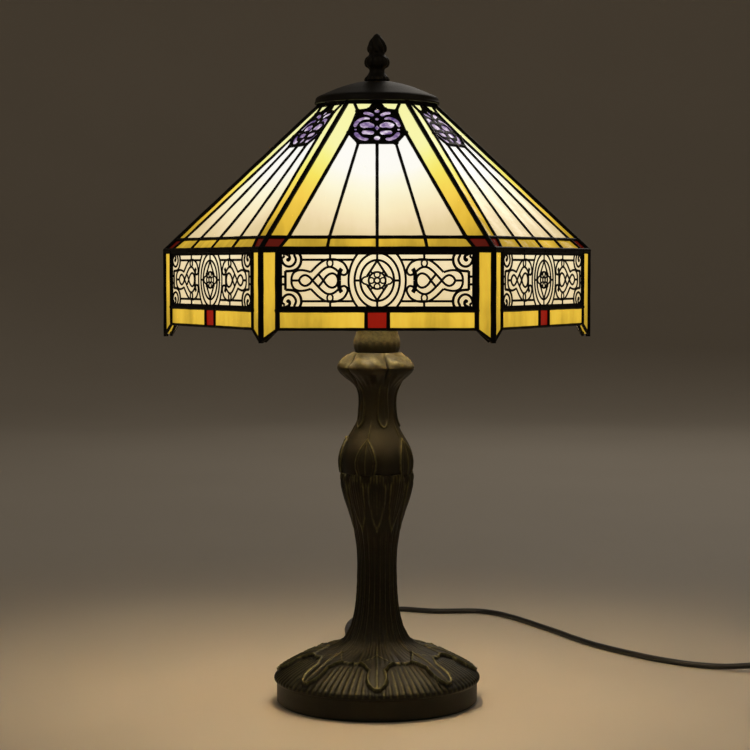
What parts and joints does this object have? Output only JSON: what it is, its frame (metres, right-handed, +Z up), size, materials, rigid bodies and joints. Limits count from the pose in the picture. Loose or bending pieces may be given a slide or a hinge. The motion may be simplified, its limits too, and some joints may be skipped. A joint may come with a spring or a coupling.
{
  "type": "table lamp",
  "caption": "Table lamp: hexagonal leaded glass shade with filigree band, carried by a harp on a cast leaf-pattern stand, with cord, in-line switch and plug.",
  "frame": {"origin": "centre of the underside of the foot's felt pad", "axes": "+Z up along the column; the front face of the shade looks along -Y; two shade corners lie on X"},
  "size_m": [0.5883, 0.5115, 0.4769],
  "materials": {
    "bronze_paint": "dark antique bronze paint, satin",
    "felt": "felt",
    "iron": "rough cast",
    "steel": "zinc plated",
    "brass": "satin",
    "holder_plastic": "dark moulded plastic",
    "black_plastic": "fine texture",
    "cord_rubber": "smooth PVC sheath",
    "cap_paint": "near-black bronze paint, satin",
    "white_glass": "streaky opalescent sheet glass",
    "amber_glass": "streaky opalescent sheet glass",
    "purple_glass": "streaky lilac sheet glass",
    "opal_glass": "opal, lit",
    "filigree_metal": "black patina",
    "lead_came": "solder with black patina"
  },
  "bodies": {
    "stand": {"base_pad": "felt", "foot_casting": "bronze_paint", "weight_ring": "iron", "column_casting": "bronze_paint", "socket_cup": "bronze_paint", "threaded_pipe": "steel", "bottom_washer": "steel", "bottom_lock_nut": "brass", "top_lock_nut": "brass", "harp_saddle": "brass", "holder_base_cap": "holder_plastic", "holder_shell": "holder_plastic", "holder_screw_shell": "brass", "harp": "brass", "harp_stud": "brass", "cord_gland": "black_plastic", "inner_cord": "cord_rubber", "cord_lead": "cord_rubber", "cord_tail": "cord_rubber", "switch_lower_shell": "black_plastic", "switch_upper_shell": "black_plastic", "cord_coil": "cord_rubber", "cord_plug_lead": "cord_rubber", "plug_body": "black_plastic", "plug_blade_left": "brass", "plug_blade_right": "brass"},
    "harp_sleeve_left": {"harp_sleeve_left": "brass"},
    "harp_sleeve_right": {"harp_sleeve_right": "brass"},
    "bulb": {"bulb_screw_cap": "steel", "bulb_glass": "opal_glass"},
    "cap": {"vase_cap": "cap_paint"},
    "shade": {"roof_panel_1": "white_glass", "medallion_1": "purple_glass", "skirt_panel_1": "amber_glass", "filigree_sheet_1": "filigree_metal", "roof_panel_2": "white_glass", "medallion_2": "purple_glass", "skirt_panel_2": "amber_glass", "filigree_sheet_2": "filigree_metal", "roof_panel_3": "white_glass", "medallion_3": "purple_glass", "skirt_panel_3": "amber_glass", "filigree_sheet_3": "filigree_metal", "roof_panel_4": "white_glass", "medallion_4": "purple_glass", "skirt_panel_4": "amber_glass", "filigree_sheet_4": "filigree_metal", "roof_panel_5": "white_glass", "medallion_5": "purple_glass", "skirt_panel_5": "amber_glass", "filigree_sheet_5": "filigree_metal", "roof_panel_6": "white_glass", "medallion_6": "purple_glass", "skirt_panel_6": "amber_glass", "filigree_sheet_6": "filigree_metal", "lead_frame": "lead_came", "shade_wheel": "brass"},
    "finial": {"finial": "cap_paint"},
    "switch_rocker": {"switch_rocker": "black_plastic"}
  },
  "joints": [
    {"name": "cap_lift", "type": "slide", "parent": "stand", "child": "cap", "axis": [0, 0, 1], "range_m": [0, 0.19]},
    {"name": "shade_turn", "type": "hinge", "parent": "cap", "child": "shade", "pos_m": [0, 0, 0.424], "axis": [0, 0, 1], "continuous": true},
    {"name": "finial_turn", "type": "hinge", "parent": "cap", "child": "finial", "pos_m": [0, 0, 0.45], "axis": [0, 0, 1], "continuous": true},
    {"name": "bulb_turn", "type": "hinge", "parent": "stand", "child": "bulb", "pos_m": [0, 0, 0.31], "axis": [0, 0, 1], "continuous": true},
    {"name": "sleeve_left_lift", "type": "slide", "parent": "stand", "child": "harp_sleeve_left", "axis": [0, 0, 1], "range_m": [0, 0.009]},
    {"name": "sleeve_right_lift", "type": "slide", "parent": "stand", "child": "harp_sleeve_right", "axis": [0, 0, 1], "range_m": [0, 0.009]},
    {"name": "rocker_tilt", "type": "hinge", "parent": "stand", "child": "switch_rocker", "pos_m": [0.328, 0.084, 0.0112], "axis": [0.342, 0.9397, 0], "range_deg": [-16, 0]}
  ]
}
